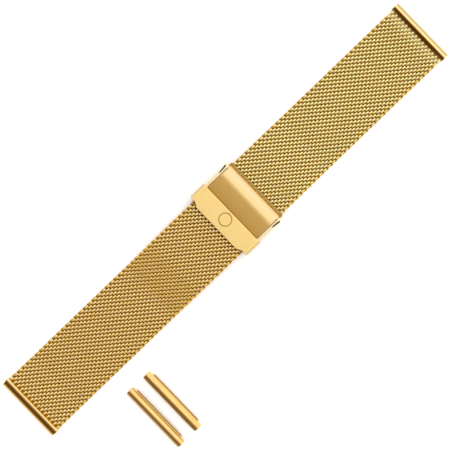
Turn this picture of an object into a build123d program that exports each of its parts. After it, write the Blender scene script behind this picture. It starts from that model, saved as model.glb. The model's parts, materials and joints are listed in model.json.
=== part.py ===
from build123d import *
import math
import os

# A woven gold watch band with a sliding clasp. Millimetres, +Z away from the wrist.
# The origin is on the clasp's underside, under the middle of the clasp.
# +X runs along the long half to its lug end, and the short half runs towards -X.

# Woven mesh
mesh_width = 22.0
mesh_thickness = 1.34
row_pitch = 0.95
groove_depth = 0.14
bend_gap = 0.08

# Tubes at the lug ends
tube_diameter = 2.9
tube_bore = 1.9
tube_overhang = 0.25

# Where the two halves end and where they first bend
long_reach = 80.5
short_reach = 91.2
long_tail_reach = 19.0
long_first_bend = 17.0
short_first_bend = 27.0
ramp_length = 11.5
flat_stretches = 5

# Folded clips on the mesh ends at the clasp
clip_length = 1.7
clip_sheet = 0.2

# Clasp base: a floor with two side walls that guide the long half
clasp_front = 9.16
clasp_back = 8.25
floor_thickness = 0.9
slide_gap = 0.1
side_gap = 0.2
wall_thickness = 0.85
wall_inset = 0.25
wall_past_pin = 0.9
wall_round = 0.9
flare_before_pin = 3.6
flare_tip_before_pin = 0.1
flare_depth = 0.4
front_inset = 0.6
front_corner = 0.9
bridge_gap = 0.15
bridge_length = 0.65
bridge_thickness = 0.5

# Hook plate and the bar that it holds
hook_sheet = 0.35
hook_side_gap = 1.0
hook_knuckle_gap = 0.3
hook_mouth_angle = 40.0
bar_diameter = 1.0
bar_reach = 5.2
bar_gap = 0.1
bar_lift = 0.3
arm_width = 2.0
arm_length = 2.1
arm_round = 0.7

# Cover: a humped leaf on a hinge pin, with a folded plate at its free end
cover_gap = 0.08
leaf_sheet = 0.45
leaf_side_gap = 0.3
leaf_setback = 2.9
plate_sheet = 0.35
plate_length = 6.78
ear_gap = 0.1
ear_sheet = 0.4
ear_drop = 1.65
lip_length = 0.91
lip_inset = 1.95
lip_slant = 1.75
crest_before_pin = 3.1
crest_rise = 0.4
crest_bow = 0.3
hinge_x = 6.6
hinge_drop = 1.12
knuckle_radius = 1.1
knuckle_tangent_angle = 55.0
hinge_pin_diameter = 0.9
hinge_pin_proud = 0.15
pin_gap = 0.05
ring_inset = 2.97
ring_diameter = 4.3
ring_width = 0.22
ring_depth = 0.08

# Locking flap in the floor, with a cam ridge that faces the mesh
flap_pin_inset = 2.26
flap_pin_diameter = 0.4
flap_pin_seat = 1.9
flap_knuckle_radius = 0.42
flap_side_inset = 4.6
flap_length = 4.9
flap_sheet = 0.6
flap_window_gap = 0.15
flap_ridge_offset = 0.95
flap_ridge_length = 0.7
flap_ridge_height = 0.28
nail_notch_radius = 1.2

# Loose ribbed tubes that lie beside the band
spare_overhang = 0.4
spare_rib_inset = 1.775
spare_rib_width = 0.55
spare_rib_thickness = 0.6
spare_first_x = 56.7
spare_spacing = 7.2
spare_y = 29.4
spare_count = 2

# One overrun serves every cut
overrun = 1.0

# Levels and places worked out from the sizes above
tube_radius = tube_diameter / 2
tube_length = mesh_width + tube_overhang * 2
round_radius = mesh_thickness / 2 - groove_depth
hollow_radius = round_radius + bend_gap
clip_half_height = mesh_thickness / 2 + clip_sheet
table_level = mesh_thickness / 2
channel_level = floor_thickness + slide_gap + mesh_thickness / 2
channel_top = channel_level + mesh_thickness / 2 + slide_gap
channel_half_width = mesh_width / 2 + side_gap
wall_outside = channel_half_width + wall_thickness
wall_back = clasp_back - wall_inset
wall_front = hinge_x + wall_past_pin
front_half_width = wall_outside - front_inset
bridge_back = hinge_x + knuckle_radius + bridge_gap
bridge_front = bridge_back + bridge_length
hook_plate_top = channel_top + hook_sheet
hook_plate_front = hinge_x - knuckle_radius - hook_knuckle_gap
hook_half_width = mesh_width / 2 - arm_width - hook_side_gap
bar_radius = bar_diameter / 2
arm_start = bar_reach + arm_length
short_clip_reach = arm_start + clip_length
bar_level = hook_plate_top + bar_lift + bar_radius
hook_inner_radius = bar_radius + bar_gap
hook_outer_radius = hook_inner_radius + hook_sheet
leaf_bottom = bar_level + hook_outer_radius + cover_gap
leaf_top = leaf_bottom + leaf_sheet
leaf_half_width = channel_half_width - leaf_side_gap
plate_top = leaf_top + plate_sheet
plate_back = clasp_back + lip_length
plate_front = plate_back - plate_length
leaf_back = plate_back - leaf_setback
ear_inner = wall_outside + ear_gap
plate_half_width = ear_inner + ear_sheet
lip_base_half_width = plate_half_width - lip_inset
lip_half_width = lip_base_half_width - lip_slant
crest_x = hinge_x - crest_before_pin
hinge_z = leaf_bottom - hinge_drop
hinge_pin_length = (wall_outside + hinge_pin_proud) * 2
flap_pin_x = clasp_front - flap_pin_inset
flap_pin_z = floor_thickness / 2
flap_half_width = channel_half_width - flap_side_inset
flap_pin_length = (flap_half_width + flap_pin_seat) * 2
window_front = flap_pin_x + flap_knuckle_radius + flap_window_gap
window_back = flap_pin_x - flap_length - flap_window_gap
window_half_width = flap_half_width + flap_window_gap
spare_length = tube_length + spare_overhang * 2
spare_rib_length = spare_length - spare_rib_inset * 2


def half_band_places(direction, first_bend, reach, level):
    """Points in (x, z) where one half bends, from its first bend to its tube's centre."""
    tube_x = reach - tube_radius
    flat_start = first_bend + ramp_length
    flat_step = (tube_x - flat_start) / flat_stretches
    places = [(direction * first_bend, level)]
    for step in range(flat_stretches):
        places.append((direction * (flat_start + step * flat_step), table_level))
    places.append((direction * tube_x, tube_radius))
    return places


def box(x_low, x_high, half_width, z_low, z_high):
    """A block from x_low to x_high, centred on Y, from z_low to z_high."""
    block = Box(x_high - x_low, half_width * 2, z_high - z_low)
    return Pos((x_low + x_high) / 2, 0, (z_low + z_high) / 2) * block


def rod(x, z, diameter, length):
    """A round rod along Y, centred on Y."""
    return Pos(x, 0, z) * Rot(X=90) * Cylinder(diameter / 2, length)


def side_extrusion(wire_edges, half_width):
    """The solid whose side view, in X and Z, is the closed outline."""
    face = make_face(wire_edges)
    return extrude(face, amount=half_width, dir=(0, 1, 0), both=True)


def side_point(x, z):
    """A point of a side view."""
    return (x, 0, z)


def ribbed_edge(to_world, start, end, side):
    """One long edge of a mesh stretch, with a rounded rib for each row of the weave."""
    rows = max(1, round(abs(end - start) / row_pitch))
    step = (end - start) / rows
    edges = []
    for row in range(rows):
        low = start + row * step
        edges.append(
            ThreePointArc(
                to_world(low, side * round_radius),
                to_world(low + step / 2, side * mesh_thickness / 2),
                to_world(low + step, side * round_radius),
            )
        )
    return edges


def mesh_stretch(start, end, near_round, far_radius):
    """A stretch of mesh from start to end, both in (x, z), ribbed along its length.

    The near end is round about the start where it turns there, and flat elsewhere.
    The far end is hollowed about the end point, to seat the next stretch or a tube.
    """
    length = math.dist(start, end)
    along = ((end[0] - start[0]) / length, (end[1] - start[1]) / length)

    def to_world(distance, height):
        x = start[0] + distance * along[0] - height * along[1]
        z = start[1] + distance * along[1] + height * along[0]
        return side_point(x, z)

    far = length - math.sqrt(far_radius**2 - round_radius**2)
    outline = ribbed_edge(to_world, 0, far, 1)
    far_corners = (to_world(far, round_radius), to_world(far, -round_radius))
    outline.append(ThreePointArc(far_corners[0], to_world(length - far_radius, 0), far_corners[1]))
    outline += ribbed_edge(to_world, far, 0, -1)
    near_corners = (to_world(0, -round_radius), to_world(0, round_radius))
    if near_round:
        outline.append(ThreePointArc(near_corners[0], to_world(-round_radius, 0), near_corners[1]))
    else:
        outline.append(Line(*near_corners))
    return side_extrusion(outline, mesh_width / 2)


def half_mesh(name, start, places):
    """The stretches of one half, from its clip at start to its lug tube."""
    points = [start] + places
    stretches = {}
    for index in range(1, len(points)):
        last = index == len(points) - 1
        far_radius = tube_radius if last else hollow_radius
        stretches[f"{name}_mesh_{index}"] = mesh_stretch(
            points[index - 1], points[index], index > 1, far_radius
        )
    return stretches


def lug_tube(place):
    """The tube at a lug end, bored for a spring bar."""
    x, z = place
    return rod(x, z, tube_diameter, tube_length) - rod(x, z, tube_bore, tube_length + overrun)


def folded_clip(tip, open_end, level):
    """A sheet folded round the cut end of the mesh, closed at its tip."""
    inward = math.copysign(clip_sheet, open_end - tip)
    low, high = sorted((tip, open_end))
    outside = box(low, high, mesh_width / 2, level - clip_half_height, level + clip_half_height)
    pocket_low, pocket_high = sorted((tip + inward, open_end + inward))
    pocket = box(
        pocket_low,
        pocket_high,
        mesh_width / 2 + overrun,
        level - mesh_thickness / 2,
        level + mesh_thickness / 2,
    )
    return outside - pocket


def short_end_clip():
    """The short half's clip, with two arms that carry the catch bar."""
    clip = folded_clip(-arm_start, -short_clip_reach, bar_level)
    arm_y = mesh_width / 2 - arm_width / 2
    for side in (-1, 1):
        arm_block = box(-arm_start, -bar_reach, arm_width / 2, bar_level - arm_round, bar_level + arm_round)
        arm_end = rod(-bar_reach, bar_level, arm_round * 2, arm_width)
        bar_hole = rod(-bar_reach, bar_level, bar_diameter, arm_width + overrun)
        clip += Pos(0, side * arm_y, 0) * (arm_block + arm_end - bar_hole)
    return clip


def side_wall(side):
    """One side wall, flared outwards at the front, with rounded ends and a pin hole."""
    inner = side * channel_half_width
    outer = side * wall_outside
    flared = side * (wall_outside + flare_depth)
    plan = Polyline(
        (-wall_back, inner),
        (-wall_back, outer),
        (hinge_x - flare_before_pin, outer),
        (hinge_x - flare_tip_before_pin, flared),
        (wall_front, inner + side * wall_thickness / 2),
        (wall_front, inner),
        close=True,
    )
    wall = extrude(make_face(plan), amount=leaf_bottom)
    middle = (wall_front - wall_back) / 2
    length = wall_front + wall_back
    height = leaf_bottom + wall_round
    profile = Pos(middle, 0, leaf_bottom - height / 2) * Rot(X=90) * extrude(
        RectangleRounded(length, height, wall_round), amount=plate_half_width * 2, both=True
    )
    wall = wall & profile
    hole = rod(hinge_x, hinge_z, hinge_pin_diameter + pin_gap * 2, plate_half_width * 2 + overrun)
    return wall - hole


def clasp_base():
    """Floor, side walls and the bridge over the mesh where the long half enters."""
    plan = Polyline(
        (-clasp_back, -wall_outside),
        (hinge_x - flare_before_pin, -wall_outside),
        (clasp_front - front_corner, -front_half_width),
        (clasp_front, front_corner - front_half_width),
        (clasp_front, front_half_width - front_corner),
        (clasp_front - front_corner, front_half_width),
        (hinge_x - flare_before_pin, wall_outside),
        (-clasp_back, wall_outside),
        close=True,
    )
    base = extrude(make_face(plan), amount=floor_thickness)
    base += side_wall(1) + side_wall(-1)
    arch = box(bridge_back, bridge_front, front_half_width, 0, channel_top + bridge_thickness)
    channel = box(
        bridge_back - overrun,
        bridge_front + overrun,
        channel_half_width,
        floor_thickness,
        channel_top,
    )
    base += arch - channel
    window = box(window_back, window_front, window_half_width, -overrun, floor_thickness + overrun)
    notch = Pos(window_back, 0, floor_thickness / 2) * Cylinder(
        nail_notch_radius, floor_thickness + overrun
    )
    pin_hole = rod(flap_pin_x, flap_pin_z, flap_pin_diameter + pin_gap * 2, flap_pin_length + pin_gap)
    return base - window - notch - pin_hole


def hook_plate():
    """The plate over the channel, whose hook rises at the back and curls over the bar."""
    plate = box(
        -bar_reach - hook_outer_radius,
        hook_plate_front,
        channel_half_width,
        channel_top,
        hook_plate_top,
    )
    ring = rod(-bar_reach, bar_level, hook_outer_radius * 2, hook_half_width * 2)
    ring -= rod(-bar_reach, bar_level, hook_inner_radius * 2, hook_half_width * 2 + overrun)
    mouth = math.radians(hook_mouth_angle)
    far = hook_outer_radius * 2
    cut = Polyline(
        side_point(-bar_reach, bar_level),
        side_point(-bar_reach + far * math.cos(mouth), bar_level + far * math.sin(mouth)),
        side_point(-bar_reach + far, bar_level - far),
        side_point(-bar_reach - far, bar_level - far),
        side_point(-bar_reach - far, bar_level),
        close=True,
    )
    curl = ring - extrude(make_face(cut), amount=hook_half_width + overrun, dir=(0, 1, 0), both=True)
    shank = box(
        -bar_reach - hook_outer_radius,
        -bar_reach - hook_inner_radius,
        hook_half_width,
        channel_top,
        bar_level,
    )
    return plate + shank + curl


def knuckle_point(degrees):
    """A point on the rolled end of the leaf."""
    angle = math.radians(degrees)
    return side_point(
        hinge_x + knuckle_radius * math.cos(angle), hinge_z + knuckle_radius * math.sin(angle)
    )


def cover_leaf():
    """Flat under the plate, a ramp up to a crest, then a bow down into the rolled end."""
    crest = side_point(crest_x, leaf_top + crest_rise)
    roll_start = knuckle_point(knuckle_tangent_angle)
    roll_end = knuckle_point(180 - knuckle_tangent_angle)
    chord = math.dist(crest, roll_start)
    rise = crest_bow / chord
    bow_middle = side_point(
        (crest[0] + roll_start[0]) / 2 + rise * (crest[2] - roll_start[2]),
        (crest[2] + roll_start[2]) / 2 + rise * (roll_start[0] - crest[0]),
    )
    outline = [
        Line(side_point(-leaf_back, leaf_bottom), side_point(-leaf_back, leaf_top)),
        Line(side_point(-leaf_back, leaf_top), side_point(-plate_front, leaf_top)),
        Line(side_point(-plate_front, leaf_top), crest),
        ThreePointArc(crest, bow_middle, roll_start),
        ThreePointArc(roll_start, knuckle_point(-90), roll_end),
        Line(roll_end, side_point(crest_x, leaf_bottom + crest_rise)),
        Line(side_point(crest_x, leaf_bottom + crest_rise), side_point(-plate_front, leaf_bottom)),
        Line(side_point(-plate_front, leaf_bottom), side_point(-leaf_back, leaf_bottom)),
    ]
    leaf = side_extrusion(outline, leaf_half_width)
    return leaf - rod(hinge_x, hinge_z, hinge_pin_diameter, leaf_half_width * 2 + overrun)


def cover_plate():
    """The bare plate on the free end, with ears folded down outside the walls."""
    plan = Polyline(
        (-plate_front, -plate_half_width),
        (-plate_front, plate_half_width),
        (-clasp_back, plate_half_width),
        (-clasp_back, lip_base_half_width),
        (-plate_back, lip_half_width),
        (-plate_back, -lip_half_width),
        (-clasp_back, -lip_base_half_width),
        (-clasp_back, -plate_half_width),
        close=True,
    )
    plate = Pos(0, 0, leaf_top) * extrude(make_face(plan), amount=plate_sheet)
    ear_y = (plate_half_width + ear_inner) / 2
    ear = box(
        -clasp_back,
        -plate_front,
        ear_sheet / 2,
        plate_top - plate_sheet - ear_drop,
        leaf_top,
    )
    plate += Pos(0, ear_y, 0) * ear
    plate += Pos(0, -ear_y, 0) * ear
    outer_radius = ring_diameter / 2
    ring = Cylinder(outer_radius, ring_depth * 2)
    ring -= Cylinder(outer_radius - ring_width, ring_depth * 2 + overrun)
    return plate - Pos(-plate_front - ring_inset, 0, plate_top) * ring


def locking_flap():
    """A flap in the floor that turns down on its pin, with a ridge that faces the mesh."""
    blade = box(
        flap_pin_x - flap_length,
        flap_pin_x,
        flap_half_width,
        flap_pin_z - flap_sheet / 2,
        flap_pin_z + flap_sheet / 2,
    )
    ridge_front = flap_pin_x - flap_ridge_offset
    ridge = box(
        ridge_front - flap_ridge_length,
        ridge_front,
        flap_half_width,
        flap_pin_z,
        flap_pin_z + flap_sheet / 2 + flap_ridge_height - slide_gap,
    )
    knuckle = rod(flap_pin_x, flap_pin_z, flap_knuckle_radius * 2, flap_half_width * 2)
    flap = blade + ridge + knuckle
    return flap - rod(flap_pin_x, flap_pin_z, flap_pin_diameter, flap_half_width * 2 + overrun)


def spare_end_bar(place):
    """A loose bored tube with a rib along one side, shorter than the tube."""
    x, y = place
    bar = rod(x, tube_radius, tube_diameter, spare_length)
    rib = box(
        x,
        x + tube_radius + spare_rib_width,
        spare_rib_length / 2,
        tube_radius - spare_rib_thickness / 2,
        tube_radius + spare_rib_thickness / 2,
    )
    bore = rod(x, tube_radius, tube_bore, spare_length + overrun)
    return Pos(0, y, 0) * (bar + rib - bore)


long_places = half_band_places(1, long_first_bend, long_reach, channel_level)
short_places = half_band_places(-1, short_first_bend, short_reach, bar_level)
long_clip_start = (clip_sheet - long_tail_reach, channel_level)
short_clip_start = (-arm_start - clip_sheet, bar_level)
spare_places = {
    number: (-spare_first_x - (number - 1) * spare_spacing, -spare_y)
    for number in range(1, spare_count + 1)
}

nodes = {
    "clasp_base": clasp_base(),
    "hook_plate": hook_plate(),
    "cover_leaf": cover_leaf(),
    "cover_plate": cover_plate(),
    "cover_hinge_pin": rod(hinge_x, hinge_z, hinge_pin_diameter, hinge_pin_length),
    "locking_flap": locking_flap(),
    "flap_pin": rod(flap_pin_x, flap_pin_z, flap_pin_diameter, flap_pin_length),
    "long_end_clip": folded_clip(-long_tail_reach, clip_length - long_tail_reach, channel_level),
    "long_lug_tube": lug_tube(long_places[-1]),
    "short_end_clip": short_end_clip(),
    "catch_bar": rod(-bar_reach, bar_level, bar_diameter, mesh_width),
    "short_lug_tube": lug_tube(short_places[-1]),
}
nodes.update(half_mesh("long", long_clip_start, long_places))
nodes.update(half_mesh("short", short_clip_start, short_places))
for number, place in spare_places.items():
    nodes[f"spare_end_bar_{number}"] = spare_end_bar(place)

os.makedirs("parts", exist_ok=True)
for name, solid in nodes.items():
    export_step(solid, f"parts/{name}.step")
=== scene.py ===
"""A gold woven mesh watch band, closed flat through its sliding clasp, on a pale table."""
import json
import math
from functools import partial

import bmesh
import bpy
from bpy.props import FloatProperty, FloatVectorProperty, IntProperty, PointerProperty
from mathutils import Matrix, Vector

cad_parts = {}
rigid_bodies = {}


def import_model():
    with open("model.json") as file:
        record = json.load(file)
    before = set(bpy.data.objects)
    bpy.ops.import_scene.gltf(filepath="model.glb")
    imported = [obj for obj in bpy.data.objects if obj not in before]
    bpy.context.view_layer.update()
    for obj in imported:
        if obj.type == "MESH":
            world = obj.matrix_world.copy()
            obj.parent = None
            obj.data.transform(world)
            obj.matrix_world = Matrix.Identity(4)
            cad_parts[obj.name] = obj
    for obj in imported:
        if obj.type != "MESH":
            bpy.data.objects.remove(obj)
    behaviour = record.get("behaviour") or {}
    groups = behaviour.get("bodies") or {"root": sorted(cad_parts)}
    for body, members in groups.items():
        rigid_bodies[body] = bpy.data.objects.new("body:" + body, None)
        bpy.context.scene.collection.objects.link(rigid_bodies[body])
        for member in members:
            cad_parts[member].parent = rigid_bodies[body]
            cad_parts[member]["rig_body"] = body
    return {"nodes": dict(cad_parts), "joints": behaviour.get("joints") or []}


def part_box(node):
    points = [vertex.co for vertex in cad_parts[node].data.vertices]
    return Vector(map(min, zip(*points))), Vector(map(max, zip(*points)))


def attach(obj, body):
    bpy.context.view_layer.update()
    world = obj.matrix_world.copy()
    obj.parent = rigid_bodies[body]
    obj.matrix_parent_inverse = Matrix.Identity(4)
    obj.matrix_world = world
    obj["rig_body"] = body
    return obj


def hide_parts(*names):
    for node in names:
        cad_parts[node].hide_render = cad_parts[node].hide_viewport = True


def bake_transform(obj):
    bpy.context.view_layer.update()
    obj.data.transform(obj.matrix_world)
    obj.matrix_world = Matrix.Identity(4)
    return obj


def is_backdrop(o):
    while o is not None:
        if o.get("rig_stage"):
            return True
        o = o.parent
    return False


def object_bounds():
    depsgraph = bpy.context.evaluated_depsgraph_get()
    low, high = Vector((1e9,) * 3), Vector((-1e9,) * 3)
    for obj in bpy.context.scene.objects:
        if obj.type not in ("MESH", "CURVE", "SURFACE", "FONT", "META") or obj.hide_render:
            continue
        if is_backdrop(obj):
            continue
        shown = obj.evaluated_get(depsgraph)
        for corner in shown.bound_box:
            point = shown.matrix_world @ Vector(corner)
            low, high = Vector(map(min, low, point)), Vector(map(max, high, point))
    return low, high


bl_info = {
    "name": "Woven Mesh Watch Band",
    "version": (1, 0, 0),
    "blender": (4, 5, 0),
    "location": "3D View > Sidebar > Watch Band",
    "description": "Makes the woven band, its sliding clasp, the loose end bars and a plain studio",
    "category": "Object",
}

MM = 0.001

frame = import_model()
CAD_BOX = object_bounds()
JOINTS = {joint["name"]: joint for joint in frame["joints"]}
BENDS_PER_HALF = sum(name.startswith("long_bend") for name in JOINTS)
LOOSE_BARS = sorted(name for name in frame["nodes"] if name.startswith("spare_end_bar"))
FLAT_STRETCH = 4

WIRE_SIDES = 6
STEPS_PER_TURN = 12
FILLET_STEPS = 10
SQUARED = 0.6
FINER_LEAN = 0.29
CORE_REACH = 0.48
BEAD_WIDTH = 0.62
BEAD_LIFT = 0.4
BEAD_TURN = -0.5
# Crown values at a bead's bottom and top: painted shade underneath, bright on top.
BEAD_SHADE_LEVELS = (-0.8, 0.95)

# Shares of the edge bead's size: over them a wire rises from its sunk end, the painted shade of a
# fused end clears, and a bead goes from painted shade to bright.
SINK_SHARES = (0.2, 1.0)
FUSED_SHARES = (0.1, 0.7)
BEAD_SHADE_SHARES = (-0.1, 0.6)
SUNK_HEIGHT = 0.5
FUSED_END_SHADE = 0.5

# Crown values from where a painted shade of the wire is full to where it ends.
FLANK_SPAN = (0.75, 0.98)
RECESS_SPAN = (0.5, 0.93)
END_SHADE_SPAN = (-1.0, 0.0)

# The most that chance adds to a row's painted recess shade.
ROW_SHADE = 0.06

GRAIN_DEPTH = 0.01 * MM

# How closely the grain's lines lie along each axis.
SHEET_GRAIN = (900.0, 14000.0, 900.0)
ROD_GRAIN = (9000.0, 500.0, 9000.0)
WIRE_GRAIN = (1500.0, 1500.0, 1500.0)

# From the ring's outside to the middle of its painted shade line, and from there to where the line
# fades away.
RING_INSIDE = 0.11 * MM
RING_FADE = (0.1 * MM, 0.22 * MM)

WORN_GOLD = (1.0, 0.85, 0.55)
GRAZING_GOLD = (1.0, 0.78, 0.42)
GRAZING_WIRE = (0.9, 0.5, 0.05)
PLATE_GOLD = (1.0, 0.725, 0.285)
LOOSE_BAR_GOLD = (1.0, 0.68, 0.27)
# Painted light on the leaf: shade down its ramp and on its rolled end, highlight tones along its
# top.
RAMP_PAINTED_SHADE = (1.0, 0.7, 0.24)
RAMP_FOOT_PAINTED_SHADE = (0.74, 0.47, 0.12)
SHOULDER_PAINTED_HIGHLIGHT = (0.88, 0.65, 0.31)
LEAF_TOP_PAINTED_HIGHLIGHT = (0.92, 0.675, 0.36)
ROLLED_END_PAINTED_SHADE = (0.88, 0.64, 0.3)
# Painted shadow along the clip's edge under the cover plate.
CLIP_EDGE_PAINTED_SHADOW = (0.2, 0.1, 0.02)
# Painted shade along the folds of the plate's ears.
EAR_FOLD_PAINTED_SHADE = (0.3, 0.17, 0.05)
# Painted shade over the short half of the mesh and over its slope.
SHORT_HALF_PAINTED_SHADE = (1.0, 0.5, 0.13)
SLOPE_PAINTED_SHADE = (1.0, 0.66, 0.06)

# Painted reflection lines along the tubes: millimetres from the axis, from the line's middle to
# where it is full and to where it ends, its share and its colour in the finish settings.
TUBE_LINES = {
    "short_lug_tube": ((-1.25, 0.3, 0.6, 0.8, "dull"), (0.2, 0.34, 0.56, 0.95, "line")),
    "long_lug_tube": ((1.05, 0.3, 0.65, 1.0, "dull"), (-1.05, 0.38, 0.62, 0.9, "line")),
}
# Painted reflection lines along each loose bar, in the same columns.
LOOSE_BAR_LINES = (
    (-1.45, 0.35, 0.6, 0.9, "dull"), (1.9, 0.14, 0.3, 0.65, "line"), (-0.8, 0.2, 0.75, 0.5, "line"),
)

WELD = 0.0005 * MM
FLAT_ANGLE = math.radians(1.0)
SHEET_EDGE_ANGLE = math.radians(32)
TUBE_EDGE_ANGLE = math.radians(50)
LUG_BORE = 0.95 * MM
TUBE_EDGE = 0.12 * MM
TUBE_STEPS = 64

# The slim slot in a wall's flared top: its corners in millimetres, and its floor and open end.
SLOT_OUTLINE = ((3.5, 11.98), (5.2, 12.21), (6.5, 12.37), (6.5, 11.9), (5.4, 11.75), (3.5, 11.66))
SLOT_HEIGHTS = (-0.5 * MM, 0.3 * MM)

WHITE = (1.0, 1.0, 1.0)
TABLE_SHADE = 0.9
TABLE_GLOW = 0.46
CARD_RADIUS = 3.0
CARD_HALF_WIDTH = 1.0
CARD_STEPS = 34
CARD_DEEP = (0.2, 0.1, 0.02)
CARD_WARM = (0.3, 0.2, 0.1)
CARD_BANDS = (
    (3.0, WHITE), (5.0, (0.3, 0.12, 0.01)), (21.0, CARD_DEEP), (52.0, CARD_DEEP),
    (62.0, CARD_WARM), (83.0, CARD_WARM), (88.0, WHITE),
)
SOFTBOX_PLACE = (0.6, -0.1, 0.8)
SENSOR_WIDTH = 36.0


class WeaveSettings(bpy.types.PropertyGroup):
    """Sizes of the wire spirals that make the mesh."""

    row_pitch: FloatProperty(
        name="Row Pitch", description="From one spiral row to the next along the band",
        default=0.95 * MM, unit="LENGTH", precision=5,
    )
    turns: FloatProperty(
        name="Turns", description="Turns of each spiral across the band", default=14.5
    )
    wire_diameter: FloatProperty(
        name="Wire Diameter", description="Thickness of the wire",
        default=0.74 * MM, unit="LENGTH", precision=5,
    )
    reach: FloatProperty(
        name="Spiral Reach", description="Half the spiral's width along the band",
        default=0.74 * MM, unit="LENGTH", precision=5,
    )
    straighten: FloatProperty(
        name="Straightened", description="How far each strand is straighter than in an even spiral",
        default=0.11 * MM, unit="LENGTH", precision=5,
    )
    rolled: FloatProperty(
        name="Rolled Flat", description="Height of the rolled wire as a share of its width",
        default=0.55,
    )
    core_wire: FloatProperty(
        name="Core Wire", description="Thickness of the packed wires inside the weave",
        default=0.5 * MM, unit="LENGTH", precision=5,
    )
    edge_bead: FloatProperty(
        name="Edge Bead", description="Half width of the fused wire ends along the selvedge",
        default=0.36 * MM, unit="LENGTH", precision=5,
    )
    bend_radius: FloatProperty(
        name="Bend Radius", description="Radius of the mesh where it slopes to the table",
        default=14.0 * MM, unit="LENGTH", precision=5,
    )
    bend_reach: FloatProperty(
        name="Bend Reach", description="How far each side of a bend the mesh starts to curve",
        default=5.0 * MM, unit="LENGTH", precision=5,
    )
    clasp_reach: FloatProperty(
        name="Clasp Reach",
        description="How far before its first bend the long half starts to curve",
        default=1.8 * MM, unit="LENGTH", precision=5,
    )
    seed: IntProperty(name="Seed", description="Seed of the rows' shade", default=4)


class FinishSettings(bpy.types.PropertyGroup):
    """Colours and roughness of the gold plate, and its small roundings."""

    bright: FloatVectorProperty(
        name="Bright Gold", description="Colour of clean plate", subtype="COLOR",
        default=(1.0, 0.735, 0.32),
    )
    deep: FloatVectorProperty(
        name="Deep Gold", description="Colour where the plate is worn or shaded", subtype="COLOR",
        default=(0.9, 0.56, 0.14),
    )
    crown: FloatVectorProperty(
        # The wires' own colour, also used to paint light on the mesh by the long lug tube.
        name="Crown Gold", description="Colour of the wires' polished crowns", subtype="COLOR",
        default=(1.0, 0.88, 0.44),
    )
    # Painted shade: the colour that darkens parts low down, the leaf by the plate's edge and the
    # plate's ring.
    tarnish: FloatVectorProperty(
        name="Painted Shade", description="Colour of sheltered and engraved places", subtype="COLOR",
        default=(0.45, 0.26, 0.06),
    )
    rubbed: FloatVectorProperty(
        name="Rubbed Gold", description="Colour of the walls' tops, rubbed pale", subtype="COLOR",
        default=(1.0, 0.86, 0.52),
    )
    # Painted dark reflection along each tube, and painted shade under the wire ends and beads.
    line: FloatVectorProperty(
        name="Tarnish Line", description="Colour of the dark line along each tube", subtype="COLOR",
        default=(0.16, 0.08, 0.012),
    )
    # Painted dull reflection along each tube.
    dull: FloatVectorProperty(
        name="Dull Line", description="Colour of the duller edge along each tube", subtype="COLOR",
        default=(0.6, 0.47, 0.25),
    )
    # Painted shade deep inside the walls' slots.
    hollow: FloatVectorProperty(
        name="Hollow", description="Colour deep inside the walls' slots", subtype="COLOR",
        default=(0.05, 0.03, 0.008),
    )
    # Painted shade on the wires' sides.
    flank: FloatVectorProperty(
        name="Flank Gold", description="Colour of the wires' sides", subtype="COLOR",
        default=(1.0, 0.77, 0.13),
    )
    # Painted shade between the wires.
    recess: FloatVectorProperty(
        name="Recess Gold", description="Colour between the wires", subtype="COLOR",
        default=(0.52, 0.27, 0.002),
    )
    satin: FloatProperty(
        name="Satin Roughness", description="Roughness of the clasp", default=0.2
    )
    polish: FloatProperty(
        name="Polish Roughness", description="Roughness of the lug tubes", default=0.1
    )
    ring_diameter: FloatProperty(
        name="Ring Diameter", description="Outside of the engraved ring",
        default=4.3 * MM, unit="LENGTH", precision=5,
    )
    ring_inset: FloatProperty(
        name="Ring Inset", description="From the plate's edge over the leaf to the ring's centre",
        default=2.97 * MM, unit="LENGTH", precision=5,
    )
    fold_round: FloatProperty(
        name="Fold Round", description="Radius where the plate folds down into its ears",
        default=0.45 * MM, unit="LENGTH", precision=5,
    )
    crest_round: FloatProperty(
        name="Crest Round", description="How far each side of the leaf's crest the bend reaches",
        default=0.6 * MM, unit="LENGTH", precision=5,
    )
    edge_round: FloatProperty(
        name="Edge Round", description="Radius of the clasp's sheet edges",
        default=0.06 * MM, unit="LENGTH", precision=5,
    )


class StageSettings(bpy.types.PropertyGroup):
    """The table, the light and the camera."""

    floor_size: FloatProperty(
        name="Table Size", description="Width of the table top", default=4.0, unit="LENGTH"
    )
    view_width: FloatProperty(
        name="View Width", description="Width of table that the picture takes in",
        default=141.0 * MM, unit="LENGTH",
    )
    view_turn: FloatProperty(
        name="View Turn", description="How far the band is turned in the picture",
        default=math.radians(43.9), subtype="ANGLE",
    )
    lens: FloatProperty(name="Lens", description="Focal length in millimetres", default=150.0)
    aim_x: FloatProperty(
        name="Aim X", description="Where the camera looks along the band",
        default=-6.56 * MM, unit="LENGTH", precision=5,
    )
    aim_y: FloatProperty(
        name="Aim Y", description="Where the camera looks across the band",
        default=-1.15 * MM, unit="LENGTH", precision=5,
    )
    key_power: FloatProperty(
        name="Key Power", description="Watts of the large softbox", default=0.55
    )


def link_object(name, data):
    """A new object in the scene that carries the data, at the origin."""
    made = bpy.data.objects.new(name, data)
    bpy.context.scene.collection.objects.link(made)
    return made


def plain_mesh(carrier):
    """A plain mesh of an object with its modifiers applied."""
    evaluated = carrier.evaluated_get(bpy.context.evaluated_depsgraph_get())
    return bpy.data.meshes.new_from_object(evaluated)


def stand_for(piece, node):
    """Puts a piece in its CAD node's place, on the node's body."""
    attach(piece, frame["nodes"][node]["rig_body"])
    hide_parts(node)


def kept(store, name, make):
    """What a store of Blender's data holds under the name, made on its first use."""
    return store.get(name) or make(name)


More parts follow.
